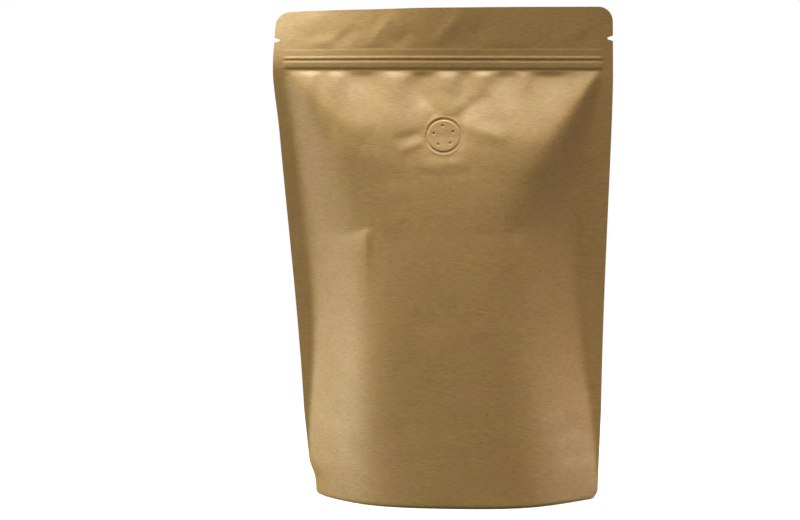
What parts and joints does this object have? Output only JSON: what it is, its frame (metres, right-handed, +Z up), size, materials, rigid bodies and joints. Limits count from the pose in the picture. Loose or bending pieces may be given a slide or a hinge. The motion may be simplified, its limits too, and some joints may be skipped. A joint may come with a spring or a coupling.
{
  "type": "kraft paper stand-up coffee bag with degassing valve",
  "caption": "Filled stand-up kraft paper coffee bag: flat header with tear notches and rounded corners, press-to-close strip, round degassing valve, slanting sides and an opened bottom gusset.",
  "frame": {"origin": "middle of the bag's footprint, on the surface it stands on", "axes": "+Z up through the bag to its header, front face with the valve towards -Y, +X to the right as seen from the front"},
  "size_m": [0.19, 0.0806, 0.2775],
  "materials": {
    "kraft_paper": "smooth unbleached kraft paper with a faint satin sheen, laminated",
    "valve_paper": "the same kraft paper pressed over the valve, with pinholes"
  },
  "bodies": {
    "root": {"bag": "kraft_paper", "valve": "valve_paper"}
  },
  "joints": []
}
